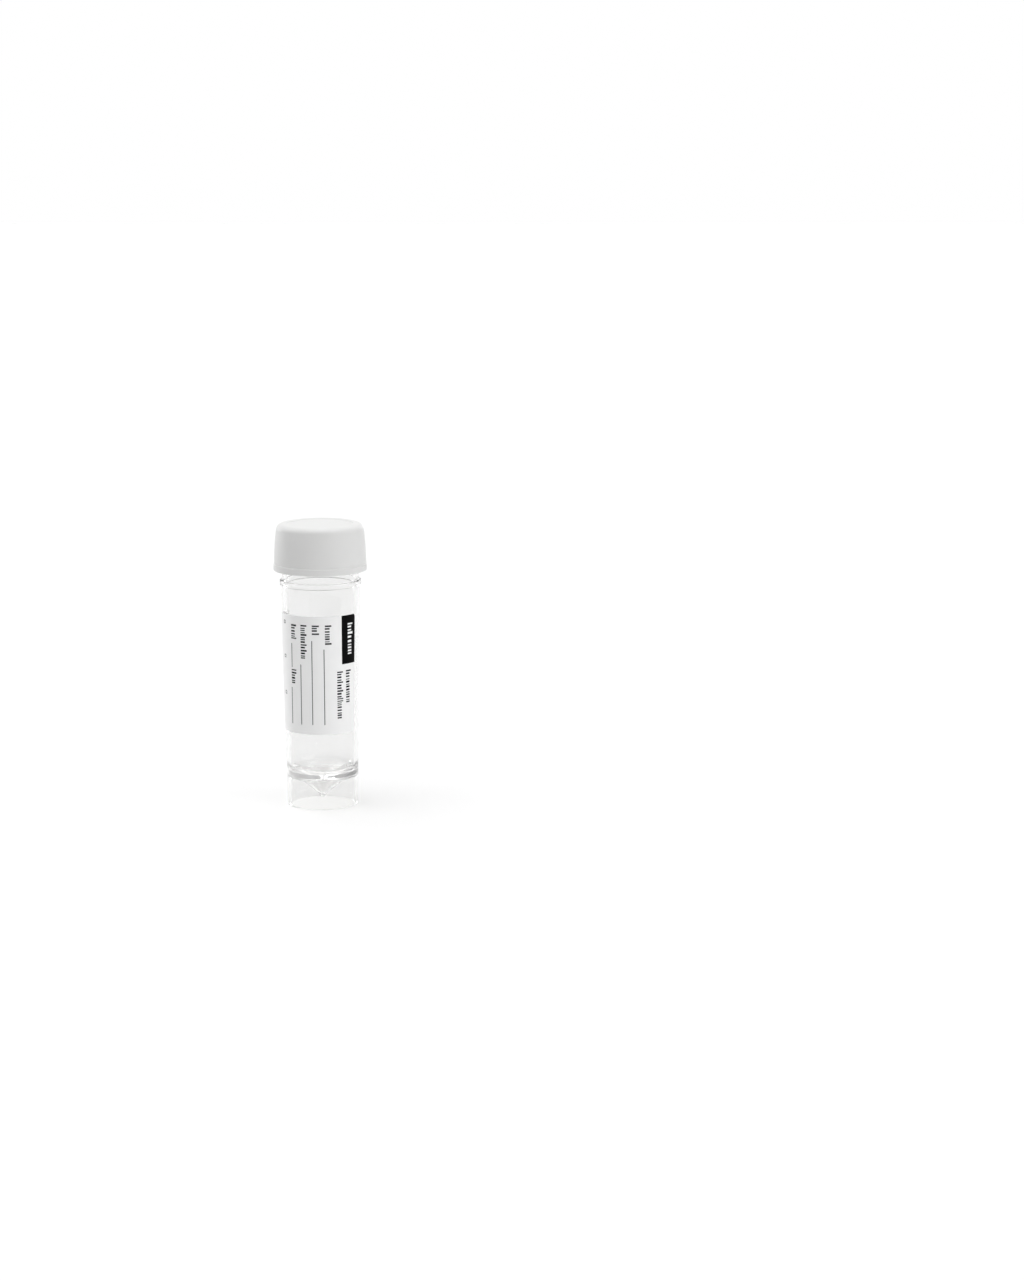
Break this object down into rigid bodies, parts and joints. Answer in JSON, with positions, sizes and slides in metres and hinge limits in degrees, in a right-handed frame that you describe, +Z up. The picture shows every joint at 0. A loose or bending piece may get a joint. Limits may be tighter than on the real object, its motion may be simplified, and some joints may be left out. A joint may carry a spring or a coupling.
{
  "type": "specimen container",
  "caption": "Clear plastic specimen container with a conical floor in an open skirt, a white screw cap with a sealing disc and a wrapped paper label.",
  "frame": {"origin": "centre of the base ring, on the surface that the container stands on", "axes": "+Z up along the container's axis, -Y towards the front of the picture, +X to its right"},
  "size_m": [0.0304, 0.0304, 0.093],
  "materials": {
    "clear_body": "clear polystyrene, glossy",
    "white_cap": "white polypropylene, satin",
    "foam_disc": "white closed-cell foam",
    "paper_label": "white coated paper"
  },
  "bodies": {
    "container": {"tube": "clear_body", "label": "paper_label"},
    "sealing_disc": {"cap_liner": "foam_disc"},
    "screw_cap": {"cap": "white_cap"}
  },
  "joints": [
    {"name": "cap_lift", "type": "slide", "parent": "container", "child": "sealing_disc", "axis": [0, 0, 1], "range_m": [0, 0.016]},
    {"name": "cap_turn", "type": "hinge", "parent": "sealing_disc", "child": "screw_cap", "pos_m": [0, 0, 0.09], "axis": [0, 0, 1], "range_deg": [0, 1440]}
  ],
  "couplings": [
    {"joint": "cap_turn", "follows": "cap_lift", "rad_per_m": 1570.8}
  ]
}
